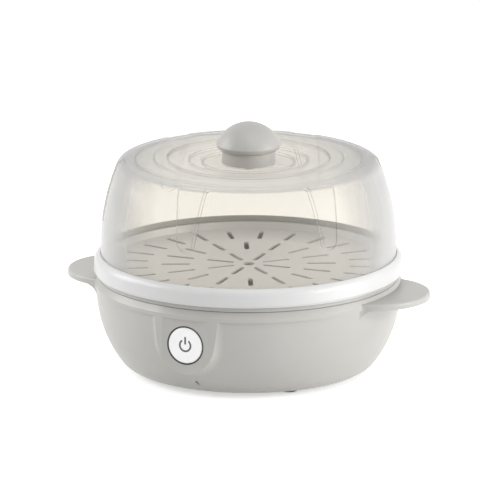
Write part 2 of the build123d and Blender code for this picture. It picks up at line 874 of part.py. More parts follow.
# Aluminium plate under the dish, grooved for the element, with two studs for the bracket
with BuildPart() as diffuser_plate:
    with BuildSketch(Plane.XY.offset(plate_bottom_z)):
        Circle(plate_radius)
    extrude(amount=plate_thickness)
    with BuildSketch(Plane.XY.offset(cap_bottom_z)):
        with Locations((-bracket_hole_offset, 0), (bracket_hole_offset, 0)):
            Circle(plate_stud_radius)
    extrude(amount=thermostat_cap_height)
    with BuildSketch(Plane.XY.offset(cap_bottom_z)):
        with Locations((-bracket_hole_offset, 0), (bracket_hole_offset, 0)):
            Circle(thermostat_screw_radius)
    extrude(amount=thermostat_cap_height, mode=Mode.SUBTRACT)
    with BuildSketch(Plane.XZ):
        with Locations((element_ring_radius, element_z)):
            Circle(element_radius)
    revolve(axis=Axis.Z, mode=Mode.SUBTRACT)
keep(diffuser_plate, "diffuser_plate")

# Tubular element: an open ring with two ends turned down
cold_ends = [
    (side * element_ring_radius * sin(element_half_gap), element_ring_radius * cos(element_half_gap))
    for side in (-1, 1)
]
first_end = (-sin(element_half_gap), cos(element_half_gap), 0)
with BuildPart() as heating_element:
    with BuildSketch(Plane((0, 0, 0), x_dir=first_end, z_dir=(first_end[1], -first_end[0], 0))):
        with Locations((element_ring_radius, element_z)):
            Circle(element_radius)
    revolve(axis=Axis.Z, revolution_arc=360 - element_open_angle)
    with BuildSketch(Plane.XY.offset(element_z)):
        with Locations(*cold_ends):
            Circle(element_radius)
    extrude(amount=-cold_end_length)
    with Locations(*[(end[0], end[1], element_z) for end in cold_ends]):
        Sphere(element_radius)
keep(heating_element, "heating_element")

with BuildPart() as element_terminals:
    with BuildSketch(Plane.XY.offset(element_z - cold_end_length)):
        with Locations(*cold_ends):
            Rectangle(blade_thickness, blade_width)
    extrude(amount=-blade_length)
keep(element_terminals, "element_terminals")

# Disc thermostat: metal cap against the plate, moulded body below it
with BuildPart() as thermostat:
    with BuildSketch(Plane.XY.offset(cap_bottom_z)):
        Circle(thermostat_cap_radius)
    extrude(amount=thermostat_cap_height)
    with BuildSketch(Plane.XY.offset(cap_bottom_z)):
        Circle(thermostat_body_radius)
    extrude(amount=-thermostat_body_height)
keep(thermostat, "thermostat")

with BuildPart() as thermostat_terminals:
    with BuildSketch(Plane.XY.offset(cap_bottom_z - thermostat_body_height)):
        with Locations((-thermostat_blade_offset, 0), (thermostat_blade_offset, 0)):
            Rectangle(blade_thickness, blade_width)
    extrude(amount=-blade_length)
keep(thermostat_terminals, "thermostat_terminals")

# Strap that holds the thermostat's cap to the plate's studs
with BuildPart() as thermostat_bracket:
    with BuildSketch(Plane.XY.offset(cap_bottom_z)):
        Circle(thermostat_cap_radius + bracket_thickness)
        SlotOverall(2 * bracket_half_length, bracket_width)
        Circle(thermostat_body_radius + screw_clearance, mode=Mode.SUBTRACT)
        with Locations((-bracket_hole_offset, 0), (bracket_hole_offset, 0)):
            Circle(thermostat_screw_radius + screw_clearance, mode=Mode.SUBTRACT)
    extrude(amount=-bracket_thickness)
keep(thermostat_bracket, "thermostat_bracket")

bracket_bottom_z = cap_bottom_z - bracket_thickness
with BuildPart() as thermostat_screws:
    with BuildSketch(Plane.XY.offset(bracket_bottom_z)):
        with Locations((-bracket_hole_offset, 0), (bracket_hole_offset, 0)):
            Circle(thermostat_screw_head_radius)
    extrude(amount=-thermostat_screw_head_height)
    with BuildSketch(Plane.XY.offset(bracket_bottom_z)):
        with Locations((-bracket_hole_offset, 0), (bracket_hole_offset, 0)):
            Circle(thermostat_screw_radius)
    extrude(amount=bracket_thickness + thermostat_cap_height - screw_clearance)
keep(thermostat_screws, "thermostat_screws")

# Thermal fuse across the front of the plate, and its clip
with BuildPart() as thermal_fuse:
    with BuildSketch(Plane.YZ.offset(-fuse_length / 2)):
        with Locations((-fuse_offset, fuse_z)):
            Circle(fuse_radius)
    extrude(amount=fuse_length)
keep(thermal_fuse, "thermal_fuse")

with BuildPart() as fuse_clip:
    with BuildSketch(Plane.YZ.offset(-clip_length / 2)):
        with Locations((-fuse_offset, fuse_z)):
            Circle(fuse_radius + clip_wall)
        with Locations((-fuse_offset, (fuse_z + plate_bottom_z) / 2)):
            Rectangle(2 * (fuse_radius + clip_wall), plate_bottom_z - fuse_z)
            Rectangle(2 * fuse_radius, plate_bottom_z - fuse_z, mode=Mode.SUBTRACT)
        with Locations((-fuse_offset, fuse_z)):
            Circle(fuse_radius, mode=Mode.SUBTRACT)
        with Locations((-fuse_offset, plate_bottom_z + fuse_radius)):
            Rectangle(4 * fuse_radius, 2 * fuse_radius, mode=Mode.SUBTRACT)
    extrude(amount=clip_length)
keep(fuse_clip, "fuse_clip")

with BuildPart() as earth_tab:
    with BuildSketch(Plane.XY.offset(clamp_bottom_z)):
        with Locations((0, earth_tab_offset)):
            Rectangle(blade_width, blade_thickness)
    extrude(amount=-earth_tab_length)
keep(earth_tab, "earth_tab")

# Control board on four posts behind the pad
with BuildPart() as control_board:
    with BuildSketch(front_plane(board_back)):
        with Locations((0, board_z)):
            Rectangle(board_width, board_height)
        with Locations(*board_post_places):
            Circle(board_screw_radius + screw_clearance, mode=Mode.SUBTRACT)
    extrude(amount=board_thickness)
keep(control_board, "control_board")

with BuildPart() as board_screws:
    with BuildSketch(front_plane(board_back)):
        with Locations(*board_post_places):
            Circle(board_screw_head_radius)
    extrude(amount=-board_screw_head_height)
    with BuildSketch(front_plane(board_back)):
        with Locations(*board_post_places):
            Circle(board_screw_radius)
    extrude(amount=board_thickness + board_screw_grip - screw_clearance)
keep(board_screws, "board_screws")

with BuildPart() as relay:
    with BuildSketch(front_plane(board_back)):
        with Locations((relay_offset, board_z - relay_drop)):
            Rectangle(relay_width, relay_height)
    extrude(amount=-relay_depth)
keep(relay, "relay")

terminal_z = board_z - terminal_drop
with BuildPart() as terminal_block:
    with BuildSketch(front_plane(board_back)):
        with Locations((terminal_offset, terminal_z)):
            Rectangle(terminal_width, terminal_height)
    extrude(amount=-terminal_depth)
keep(terminal_block, "terminal_block")

with BuildPart() as capacitor:
    with BuildSketch(front_plane(board_back)):
        with Locations((capacitor_offset, board_z + capacitor_rise)):
            Rectangle(capacitor_width, capacitor_height)
    extrude(amount=-capacitor_depth)
keep(capacitor, "capacitor")

axis_point = (0, 0, button_height)
with BuildPart() as status_led:
    with BuildSketch(front_plane(board_distance)):
        with Locations((led_offset, button_height)):
            Circle(led_radius)
    extrude(amount=led_length)
    fillet(edges().filter_by(GeomType.CIRCLE).sort_by_distance(axis_point)[-1], led_edge_radius)
keep(status_led, "status_led")

# Push switch on the board, with a bore for its plunger
bore_depth = plunger_length - plunger_reach + button_travel + button_rest_gap
with BuildPart() as switch_body:
    with BuildSketch(front_plane(board_distance)):
        with Locations((0, button_height)):
            Rectangle(switch_size, switch_size)
    extrude(amount=switch_depth)
    with BuildSketch(front_plane(board_distance + switch_depth)):
        with Locations((0, button_height)):
            Circle(plunger_radius + plunger_clearance)
    extrude(amount=-bore_depth, mode=Mode.SUBTRACT)
keep(switch_body, "switch_body")

with BuildPart() as switch_plunger:
    with BuildSketch(front_plane(plunger_tip)):
        with Locations((0, button_height)):
            Circle(plunger_radius)
    extrude(amount=-plunger_length)
keep(switch_plunger, "switch_plunger")


# Outline of the standby symbol: an open ring with a bar in its gap
def symbol_outline():
    half_gap = radians(symbol_gap_angle / 2)
    with BuildSketch() as outline:
        Circle(symbol_radius)
        Circle(symbol_radius - symbol_stroke, mode=Mode.SUBTRACT)
        Polygon(
            (0, 0),
            (2 * symbol_radius * sin(half_gap), 2 * symbol_radius * cos(half_gap)),
            (-2 * symbol_radius * sin(half_gap), 2 * symbol_radius * cos(half_gap)),
            align=None,
            mode=Mode.SUBTRACT,
        )
        with Locations((0, symbol_radius + symbol_stroke - symbol_bar_length / 2)):
            Rectangle(symbol_stroke, symbol_bar_length)
    return outline.sketch


# Button cap: a cup with a retaining flange, a stem and the symbol's recess
with BuildPart() as button_cap:
    with BuildSketch(front_plane(flange_back)):
        with Locations((0, button_height)):
            Circle(button_radius + button_flange)
    extrude(amount=button_flange_thickness)
    with BuildSketch(front_plane(flange_back)):
        with Locations((0, button_height)):
            Circle(button_radius)
    extrude(amount=button_face - flange_back)
    with BuildSketch(front_plane(flange_back)):
        with Locations((0, button_height)):
            Circle(button_radius - button_wall)
    extrude(amount=button_face - button_wall - flange_back, mode=Mode.SUBTRACT)
    with BuildSketch(front_plane(plunger_tip)):
        with Locations((0, button_height)):
            Circle(button_stem_radius)
    extrude(amount=button_face - button_wall - plunger_tip)
    fillet(edges().filter_by(GeomType.CIRCLE).sort_by_distance(axis_point)[-1], button_edge_radius)
    with BuildSketch(front_plane(button_face - symbol_depth)):
        with Locations((0, button_height)):
            add(symbol_outline())
    extrude(amount=2 * symbol_depth, mode=Mode.SUBTRACT)
keep(button_cap, "button_cap")

with BuildPart() as power_symbol:
    with BuildSketch(front_plane(button_face - symbol_depth)):
        with Locations((0, button_height)):
            add(symbol_outline())
    extrude(amount=symbol_depth)
keep(power_symbol, "power_symbol")

# Three-pin inlet in the rear pocket
inlet_face = inlet_pocket_floor + inlet_flange_thickness
inlet_back = inlet_pocket_floor - inlet_body_depth
pin_places = [
    (-inlet_pin_spacing, inlet_height - inlet_pin_offset),
    (0, inlet_height + inlet_pin_offset),
    (inlet_pin_spacing, inlet_height - inlet_pin_offset),
]
with BuildPart() as power_inlet:
    with BuildSketch(rear_plane(inlet_pocket_floor)):
        with Locations((0, inlet_height)):
            Rectangle(inlet_flange_width, inlet_flange_height)
    extrude(amount=inlet_flange_thickness)
    fillet(edges().filter_by(Axis.Y), inlet_flange_thickness)
    with BuildSketch(rear_plane(inlet_back)):
        with Locations((0, inlet_height)):
            Rectangle(inlet_body_width, inlet_body_height)
    extrude(amount=inlet_body_depth)
    with BuildSketch(rear_plane(inlet_face)):
        with Locations((0, inlet_height)):
            Rectangle(inlet_socket_width, inlet_socket_height)
        chamfer(vertices().group_by(Axis.Y)[-1], inlet_corner_cut)
    extrude(amount=-inlet_socket_depth, mode=Mode.SUBTRACT)
keep(power_inlet, "power_inlet")

with BuildPart() as inlet_pins:
    with BuildSketch(rear_plane(inlet_face - inlet_socket_depth)):
        with Locations(*pin_places):
            Rectangle(inlet_pin_thickness, inlet_pin_width)
    extrude(amount=inlet_pin_length)
keep(inlet_pins, "inlet_pins")

with BuildPart() as inlet_tabs:
    with BuildSketch(rear_plane(inlet_back)):
        with Locations(*pin_places):
            Rectangle(blade_thickness, inlet_tab_width)
    extrude(amount=-inlet_tab_length)
keep(inlet_tabs, "inlet_tabs")

# Wires: from the inlet's tabs to the board, the element and the earth tab
tab_end = inlet_back - inlet_tab_length
live_tab = (-inlet_pin_spacing, tab_end, inlet_height - inlet_pin_offset)
neutral_tab = (inlet_pin_spacing, tab_end, inlet_height - inlet_pin_offset)
earth_start = (0, tab_end, inlet_height + inlet_pin_offset)
terminal_distance = board_back - terminal_depth / 2
terminal_bottom_z = terminal_z - terminal_height / 2
element_end_z = element_z - cold_end_length - blade_length
thermostat_end_z = cap_bottom_z - thermostat_body_height - blade_length
live_across = terminal_offset - terminal_pitch / 2
heater_across = terminal_offset + terminal_pitch / 2

lead_low_z = lead_run_z - lead_low
lead_high_z = lead_run_z + lead_rise

live_lead = lead_solid(
    live_tab,
    (live_tab[0], tab_end - lead_straight, live_tab[2]),
    *[(*place, lead_run_z) for place in live_route],
    (*live_front_place, lead_run_z + lead_low),
    front_point(live_across, terminal_bottom_z - lead_drop, terminal_distance),
    front_point(live_across, terminal_bottom_z, terminal_distance),
)
keep(live_lead, "live_lead")

neutral_lead = lead_solid(
    neutral_tab,
    (neutral_tab[0], tab_end - lead_straight, neutral_tab[2]),
    (*neutral_route, lead_run_z),
    (*cold_ends[1], lead_low_z),
    (*cold_ends[1], element_end_z),
)
keep(neutral_lead, "neutral_lead")

heater_lead = lead_solid(
    front_point(heater_across, terminal_bottom_z, terminal_distance),
    front_point(heater_across, terminal_bottom_z - lead_drop, terminal_distance),
    (*heater_front_place, lead_run_z),
    (*heater_middle_place, lead_low_z),
    (-thermostat_blade_offset, 0, lead_low_z),
    (-thermostat_blade_offset, 0, thermostat_end_z),
)
keep(heater_lead, "heater_lead")

earth_lead = lead_solid(
    earth_start,
    (0, tab_end - lead_straight, earth_start[2]),
    (0, earth_tab_offset + lead_straight, lead_high_z),
    (0, earth_tab_offset, lead_high_z - lead_low),
    (0, earth_tab_offset, clamp_bottom_z - earth_tab_length),
)
keep(earth_lead, "earth_lead")

# From the thermostat to the fuse, and from the fuse to the element
fuse_front_lead = lead_solid(
    (thermostat_blade_offset, 0, thermostat_end_z),
    (thermostat_blade_offset, 0, lead_run_z),
    (*fuse_front_place, lead_run_z),
    (fuse_front_across, -fuse_offset, lead_high_z),
    (fuse_front_across, -fuse_offset, fuse_z),
    (fuse_length / 2, -fuse_offset, fuse_z),
)
fuse_rear_lead = lead_solid(
    (-fuse_length / 2, -fuse_offset, fuse_z),
    (-fuse_rear_across, -fuse_offset, fuse_z),
    (-fuse_rear_across, -fuse_offset, lead_high_z + lead_low),
    (-fuse_rear_across, -fuse_rear_depth, lead_low_z),
    (*cold_ends[0], lead_low_z),
    (*cold_ends[0], element_end_z),
)
with BuildPart() as fuse_leads:
    add(fuse_front_lead.part)
    add(fuse_rear_lead.part)
keep(fuse_leads, "fuse_leads")

# Steam tray: outer ring with the lid's rebate, spigot below, perforated floor
with BuildPart() as steam_tray:
    with BuildSketch(Plane.XZ):
        with BuildLine():
            Polyline(
                (0, tray_floor_z),
                (spigot_radius - tray_wall, tray_floor_z),
                (spigot_radius - tray_wall, lip_top_z - tray_spigot_depth),
                (spigot_radius, lip_top_z - tray_spigot_depth),
                (spigot_radius, lip_top_z),
                (spigot_radius + tray_seat_width, lip_top_z),
                (spigot_radius + tray_seat_width, lid_seat_z - tray_wall),
                (ring_radius - tray_wall, lid_seat_z - tray_wall),
                (ring_radius - tray_wall, ring_bottom_z),
                (ring_radius - tray_edge, ring_bottom_z),
                (ring_radius, ring_bottom_z + tray_bead_height),
                (ring_radius - tray_draft, shoulder_z),
            )
            ThreePointArc(
                (ring_radius - tray_draft, shoulder_z),
                (rebate_radius + tray_round_width, shoulder_z + tray_round_height),
                (rebate_radius + tray_draft, ring_top_z),
            )
            Polyline(
                (rebate_radius + tray_draft, ring_top_z),
                (rebate_radius, ring_top_z),
                (rebate_radius, lid_seat_z),
                (rebate_radius - tray_rebate_width, lid_seat_z),
                (rebate_radius - tray_rebate_width - tray_edge, tray_floor_z + tray_floor_thickness),
                (0, tray_floor_z + tray_floor_thickness),
                (0, tray_floor_z),
            )
        make_face()
    revolve(axis=Axis.Z)
    with BuildSketch(Plane.XY.offset(tray_floor_z)):
        Circle(tray_centre_hole_radius)
        for ring in range(1, slot_rings + 1):
            ring_centre = tray_centre_hole_radius + (ring - 0.5) * slot_pitch + slot_width / 2
            with PolarLocations(ring_centre, slots_per_ring * ring):
                SlotOverall(slot_length, slot_width)
    extrude(amount=tray_floor_thickness, mode=Mode.SUBTRACT)
keep(steam_tray, "steam_tray")

# Lid: dome with flutes pressed in, the same inside with the wall's thickness
flute_floor = lid_solid(flute_depth, lid_seat_z)
inner_floor = lid_solid(flute_depth + lid_wall, lid_seat_z - lid_wall)

with BuildPart() as flute_cutters:
    add(flute_prisms(0))
    add(flute_floor, mode=Mode.SUBTRACT)

with BuildPart() as inner_ridges:
    add(flute_prisms(lid_wall))
    add(inner_floor, mode=Mode.SUBTRACT)

with BuildPart() as lid_cavity:
    add(lid_solid(lid_wall, lid_seat_z - lid_wall))
    add(inner_ridges.part, mode=Mode.SUBTRACT)

with BuildPart() as lid_dome:
    add(lid_solid(0, lid_seat_z))
    add(flute_cutters.part, mode=Mode.SUBTRACT)
    add(lid_cavity.part, mode=Mode.SUBTRACT)
    with BuildSketch(Plane.XY.offset(hub_z)):
        Circle(knob_screw_radius + screw_clearance)
    extrude(amount=-2 * lid_wall, mode=Mode.SUBTRACT)
keep(lid_dome, "lid_dome")

# Knob: hollow neck, domed cap with a boss, screw and washer from inside the lid
with BuildPart() as knob_collar:
    with BuildSketch(Plane.XZ):
        Polygon(
            (collar_radius - collar_wall, hub_z),
            (collar_radius, hub_z),
            (collar_radius, knob_z),
            (knob_boss_radius + knob_boss_clearance, knob_z),
            (knob_boss_radius + knob_boss_clearance, knob_z - collar_wall),
            (collar_radius - collar_wall, knob_z - collar_wall),
            align=None,
        )
    revolve(axis=Axis.Z)
keep(knob_collar, "knob_collar")

knob_top_z = knob_z + knob_height
sphere_z = knob_top_z - knob_sphere_radius
rim_z = sphere_z + sqrt(knob_sphere_radius**2 - knob_radius**2)
inner_sphere = knob_sphere_radius - knob_wall
inner_rim_radius = collar_radius - collar_wall
inner_rim_z = sphere_z + sqrt(inner_sphere**2 - (knob_radius - knob_wall) ** 2)
arc_across = sin(radians(knob_arc_angle))
arc_up = cos(radians(knob_arc_angle))
with BuildPart() as knob_cap:
    with BuildSketch(Plane.XZ):
        with BuildLine():
            ThreePointArc(
                (0, knob_top_z),
                (knob_sphere_radius * arc_across, sphere_z + knob_sphere_radius * arc_up),
                (knob_radius, rim_z),
            )
            ThreePointArc(
                (knob_radius, rim_z),
                (knob_radius - knob_rim_bulge, (rim_z + knob_z) / 2),
                (collar_radius + knob_rim_step, knob_z),
            )
            Polyline(
                (collar_radius + knob_rim_step, knob_z),
                (inner_rim_radius, knob_z),
                (knob_radius - knob_wall, inner_rim_z),
            )
            ThreePointArc(
                (knob_radius - knob_wall, inner_rim_z),
                (inner_sphere * arc_across, sphere_z + inner_sphere * arc_up),
                (0, sphere_z + inner_sphere),
            )
            Line((0, sphere_z + inner_sphere), (0, knob_top_z))
        make_face()
    revolve(axis=Axis.Z)
    with BuildSketch(Plane.XY.offset(hub_z)):
        Circle(knob_boss_radius)
    extrude(amount=knob_top_z - knob_wall - hub_z)
    with BuildSketch(Plane.XY.offset(hub_z)):
        Circle(knob_screw_radius)
    extrude(amount=knob_screw_length, mode=Mode.SUBTRACT)
keep(knob_cap, "knob_cap")

lid_under_z = hub_z - lid_wall
with BuildPart() as knob_washer:
    with BuildSketch(Plane.XY.offset(lid_under_z)):
        Circle(knob_washer_radius)
        Circle(knob_screw_radius + screw_clearance, mode=Mode.SUBTRACT)
    extrude(amount=-knob_washer_thickness)
keep(knob_washer, "knob_washer")

washer_under_z = lid_under_z - knob_washer_thickness
with BuildPart() as knob_screw:
    with BuildSketch(Plane.XY.offset(washer_under_z - knob_screw_head_height)):
        Circle(knob_screw_head_radius)
    extrude(amount=knob_screw_head_height)
    with BuildSketch(Plane.XY.offset(washer_under_z)):
        Circle(knob_screw_radius)
    extrude(amount=hub_z + knob_screw_length - screw_clearance - washer_under_z)
    with BuildSketch(Plane.XY.offset(washer_under_z - knob_screw_head_height)):
        Rectangle(2 * knob_screw_radius, recess_width)
        Rectangle(recess_width, 2 * knob_screw_radius)
    extrude(amount=recess_depth, mode=Mode.SUBTRACT)
keep(knob_screw, "knob_screw")
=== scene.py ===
import math

import bmesh
import bpy
from mathutils import Matrix, Vector


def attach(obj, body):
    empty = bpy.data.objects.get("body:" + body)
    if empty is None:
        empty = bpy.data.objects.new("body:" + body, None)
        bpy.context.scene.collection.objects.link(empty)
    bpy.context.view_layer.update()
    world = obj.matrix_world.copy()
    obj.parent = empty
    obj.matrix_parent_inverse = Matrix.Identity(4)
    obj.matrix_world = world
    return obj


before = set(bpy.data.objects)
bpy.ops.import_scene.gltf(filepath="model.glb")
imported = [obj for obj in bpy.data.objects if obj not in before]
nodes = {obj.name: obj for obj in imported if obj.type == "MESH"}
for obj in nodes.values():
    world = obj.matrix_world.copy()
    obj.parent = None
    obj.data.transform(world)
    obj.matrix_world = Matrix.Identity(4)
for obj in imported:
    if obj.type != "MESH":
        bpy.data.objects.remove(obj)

scene = bpy.context.scene
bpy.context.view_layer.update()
print("frame loaded:", len(nodes), "CAD nodes")

# Camera, lamps and floor

photoView = {
    "azimuth": 21.0,  # degrees, turned from the front toward +X
    "elevation": 14.36,
    "distance": 12.0,  # metres, a long lens from far away
    "frameWidth": 0.3871,  # metres across the picture at the object
    "lookHeight": 0.1070,
    "axisToRight": 0.0069,  # how far right of the middle the object's axis stands
    "sensorWidth": 36,  # millimetres
    "clipEnd": 60,
}
studio = {
    "worldStrength": 0.50,  # the light it gives; looked at, the backdrop is white
    "floorSize": 14.0,
    "floorColour": (0.86, 0.86, 0.855, 1),
    "floorGlow": 0.54,  # seen, but lights nothing, so the shadow stays
    "aimHeight": 0.1,  # where on the object's axis the lamps point
    "panels": {
        "rightPanel": {
            "azimuth": 92, "elevation": 11, "distance": 1.5, "size": (0.8, 1.0), "power": 15.9,
        },
        "leftPanel": {
            "azimuth": -85, "elevation": 24, "distance": 1.5, "size": (0.6, 0.9), "power": 6.6,
        },
        "leftGlint": {
            "azimuth": -60, "elevation": 30, "distance": 1.6, "size": (0.26, 0.42), "power": 3.0,
        },
        "topPanel": {
            "azimuth": 30, "elevation": 70, "distance": 1.6, "size": (1.1, 1.1), "power": 4.3,
        },
    },
}


def directionFrom(azimuth, elevation):
    turn, rise = math.radians(azimuth), math.radians(elevation)
    flat = math.cos(rise)
    return Vector((math.sin(turn) * flat, -math.cos(turn) * flat, math.sin(rise)))


def makeCamera(view):
    toCamera = directionFrom(view["azimuth"], view["elevation"])
    turn = math.radians(view["azimuth"])
    right = Vector((math.cos(turn), math.sin(turn), 0))
    target = Vector((0, 0, view["lookHeight"])) - right * view["axisToRight"]
    data = bpy.data.cameras.new("photoCamera")
    data.sensor_width = view["sensorWidth"]
    data.lens = data.sensor_width * view["distance"] / view["frameWidth"]
    data.clip_end = view["clipEnd"]
    camera = bpy.data.objects.new("photoCamera", data)
    scene.collection.objects.link(camera)
    camera.location = target + toCamera * view["distance"]
    camera.rotation_euler = (-toCamera).to_track_quat("-Z", "Y").to_euler()
    scene.camera = camera


def addPanel(name, panel, aimHeight):
    toLamp = directionFrom(panel["azimuth"], panel["elevation"])
    data = bpy.data.lights.new(name, "AREA")
    data.shape = "RECTANGLE"
    data.size, data.size_y = panel["size"]
    data.energy = panel["power"]
    lamp = bpy.data.objects.new(name, data)
    scene.collection.objects.link(lamp)
    lamp.location = Vector((0, 0, aimHeight)) + toLamp * panel["distance"]
    lamp.rotation_euler = (-toLamp).to_track_quat("-Z", "Y").to_euler()


def makeObject(name, bm, material):
    mesh = bpy.data.meshes.new(name)
    bm.to_mesh(mesh)
    bm.free()
    mesh.materials.append(material)
    made = bpy.data.objects.new(name, mesh)
    scene.collection.objects.link(made)
    return made


def newMaterial(name):
    material = bpy.data.materials.new(name)
    material.use_nodes = True
    material.node_tree.nodes.clear()
    return material, material.node_tree


def fillSocket(tree, socket, value):
    if isinstance(value, bpy.types.NodeSocket):
        tree.links.new(value, socket)
    else:
        socket.default_value = value


# A shader node with its sockets filled; a socket's spaces are written as underscores
def addNode(tree, kind, settings=None, **sockets):
    node = tree.nodes.new("ShaderNode" + kind)
    for key, value in (settings or {}).items():
        setattr(node, key, value)
    for key, value in sockets.items():
        fillSocket(tree, node.inputs[key.replace("_", " ")], value)
    return node


# The same for a node whose sockets share a name: they are filled in their order
def joinNode(tree, kind, values, settings=None):
    node = addNode(tree, kind, settings)
    for socket, value in zip(node.inputs, values):
        fillSocket(tree, socket, value)
    return node.outputs[0]


# A value carried over from one range to another
def carryRange(tree, value, toRange, fromRange=(0.0, 1.0)):
    return addNode(
        tree, "MapRange", Value=value, From_Min=fromRange[0], From_Max=fromRange[1],
        To_Min=toRange[0], To_Max=toRange[1],
    ).outputs["Result"]


# Two shades that a pattern blends between the two places of the span
def blendShades(tree, pattern, dark, light, span):
    shades = addNode(tree, "ValToRGB", Fac=pattern)
    for stop, where, colour in zip(shades.color_ramp.elements, span, (dark, light)):
        stop.position = where
        stop.color = (*colour, 1)
    return shades.outputs["Color"]


# Greys along a value, given as a level at each place
def greyCurve(tree, value, levels):
    curve = addNode(tree, "ValToRGB", Fac=value)
    stops = curve.color_ramp.elements
    places = sorted(levels)
    for where in places[1:-1]:
        stops.new(where)
    for stop, where in zip(stops, places):
        stop.position = where
        stop.color = (*[levels[where]] * 3, 1)
    return curve.outputs["Color"]


def makeRelief(tree, pattern, depth):
    return addNode(tree, "Bump", Strength=1.0, Distance=depth, Height=pattern).outputs["Normal"]


# 1 for rays that the eye follows straight, by a mirror or through glass, 0 for the rest
def seenDirectly(tree):
    path = addNode(tree, "LightPath").outputs
    seen = path["Is Camera Ray"]
    for other in ("Is Glossy Ray", "Is Transmission Ray"):
        seen = joinNode(tree, "Math", (seen, path[other]), {"operation": "MAXIMUM"})
    return seen


def makeStudio(setup):
    world = bpy.data.worlds.new("whiteStudio")
    scene.world = world
    world.use_nodes = True
    tree = world.node_tree
    tree.nodes.clear()
    strength = carryRange(tree, seenDirectly(tree), (setup["worldStrength"], 1.0))  # 1 is white
    back = addNode(tree, "Background", Color=(1, 1, 1, 1), Strength=strength)
    addNode(tree, "OutputWorld", Surface=back.outputs[0])
    for name, panel in setup["panels"].items():
        addPanel(name, panel, setup["aimHeight"])

    material, tree = newMaterial("studioFloor")
    paper = addNode(tree, "BsdfDiffuse", Color=setup["floorColour"])
    glow = carryRange(tree, seenDirectly(tree), (0.0, setup["floorGlow"]))
    light = addNode(tree, "Emission", Strength=glow)
    both = joinNode(tree, "AddShader", (paper.outputs[0], light.outputs[0]))
    addNode(tree, "OutputMaterial", Surface=both)

    bm = bmesh.new()
    bmesh.ops.create_grid(bm, x_segments=1, y_segments=1, size=setup["floorSize"] / 2)
    floor = makeObject("studioFloor", bm, material)


makeCamera(photoView)
scene.view_settings.view_transform = "Standard"
makeStudio(studio)
print("camera and studio ready")

# Plastics, rubbers, coated wires and painted parts

plastics = {
    "housingPlastic": {
        "dark": (0.505, 0.498, 0.470), "light": (0.540, 0.530, 0.502),
        "cloudScale": 14, "grainScale": 1500, "bump": 0.00002, "rough": (0.34, 0.44), "coat": 0.15,
    },
    "knobPlastic": {
        "dark": (0.465, 0.457, 0.434), "light": (0.505, 0.495, 0.470),
        "cloudScale": 30, "grainScale": 1600, "bump": 0.00002, "rough": (0.36, 0.46), "coat": 0.1,
    },
    "trayPlastic": {
        "dark": (0.705, 0.707, 0.705), "light": (0.735, 0.736, 0.734),
        "cloudScale": 18, "grainScale": 1400, "bump": 0.000015, "rough": (0.28, 0.38), "coat": 0.2,
    },
    "buttonPlastic": {
        "dark": (0.940, 0.940, 0.940), "light": (0.960, 0.960, 0.960),
        "cloudScale": 60, "grainScale": 2200, "bump": 0.00001, "rough": (0.16, 0.24), "coat": 0.4,
        "glow": 0.13,  # painted glow: the cap shines of itself, though no lamp is in it
    },
    "symbolInk": {
        "dark": (0.120, 0.120, 0.124), "light": (0.150, 0.150, 0.154),
        "cloudScale": 200, "grainScale": 3000, "bump": 0.00001, "rough": (0.4, 0.55), "coat": 0.0,
    },
    "footRubber": {
        "dark": (0.120, 0.120, 0.118), "light": (0.170, 0.168, 0.165),
        "cloudScale": 120, "grainScale": 2500, "bump": 0.00005, "rough": (0.75, 0.9), "coat": 0.0,
    },
    # painted shade: near black, worn by the ring that darkens the gap round the button
    "paintedGapShade": {
        "dark": (0.040, 0.040, 0.040), "light": (0.060, 0.060, 0.060),
        "cloudScale": 150, "grainScale": 2600, "bump": 0.00003, "rough": (0.6, 0.8), "coat": 0.0,
    },
    "sealSilicone": {
        "dark": (0.520, 0.480, 0.430), "light": (0.600, 0.560, 0.510),
        "cloudScale": 80, "grainScale": 1800, "bump": 0.00003, "rough": (0.55, 0.7), "coat": 0.0,
    },
    "mouldedBlack": {
        "dark": (0.012, 0.012, 0.013), "light": (0.026, 0.026, 0.027),
        "cloudScale": 60, "grainScale": 1700, "bump": 0.00003, "rough": (0.42, 0.58), "coat": 0.0,
    },
    "terminalGreen": {
        "dark": (0.020, 0.170, 0.060), "light": (0.030, 0.220, 0.080),
        "cloudScale": 90, "grainScale": 1700, "bump": 0.00003, "rough": (0.4, 0.55), "coat": 0.0,
    },
    "fuseSleeve": {
        "dark": (0.560, 0.520, 0.400), "light": (0.640, 0.600, 0.480),
        "cloudScale": 150, "grainScale": 2600, "bump": 0.00006, "rough": (0.6, 0.8), "coat": 0.0,
    },
    "plungerWhite": {
        "dark": (0.600, 0.600, 0.580), "light": (0.680, 0.680, 0.660),
        "cloudScale": 200, "grainScale": 2600, "bump": 0.00002, "rough": (0.35, 0.5), "coat": 0.0,
    },
    "boardLaminate": {
        "dark": (0.010, 0.085, 0.035), "light": (0.018, 0.130, 0.055),
        "cloudScale": 260, "grainScale": 2400, "bump": 0.00003, "rough": (0.3, 0.45), "coat": 0.3,
    },
    "ledLens": {
        "dark": (0.500, 0.080, 0.030), "light": (0.640, 0.120, 0.050),
        "cloudScale": 300, "grainScale": 3000, "bump": 0.00001, "rough": (0.1, 0.2), "coat": 0.5,
    },
    "brownLead": {
        "dark": (0.080, 0.030, 0.012), "light": (0.120, 0.050, 0.022),
        "cloudScale": 160, "grainScale": 2600, "bump": 0.00003, "rough": (0.4, 0.55), "coat": 0.0,
    },
    "blueLead": {
        "dark": (0.015, 0.045, 0.230), "light": (0.025, 0.070, 0.320),
        "cloudScale": 160, "grainScale": 2600, "bump": 0.00003, "rough": (0.4, 0.55), "coat": 0.0,
    },
    "whiteLead": {
        "dark": (0.560, 0.550, 0.520), "light": (0.650, 0.640, 0.610),
        "cloudScale": 160, "grainScale": 2600, "bump": 0.00005, "rough": (0.5, 0.7), "coat": 0.0,
    },
}
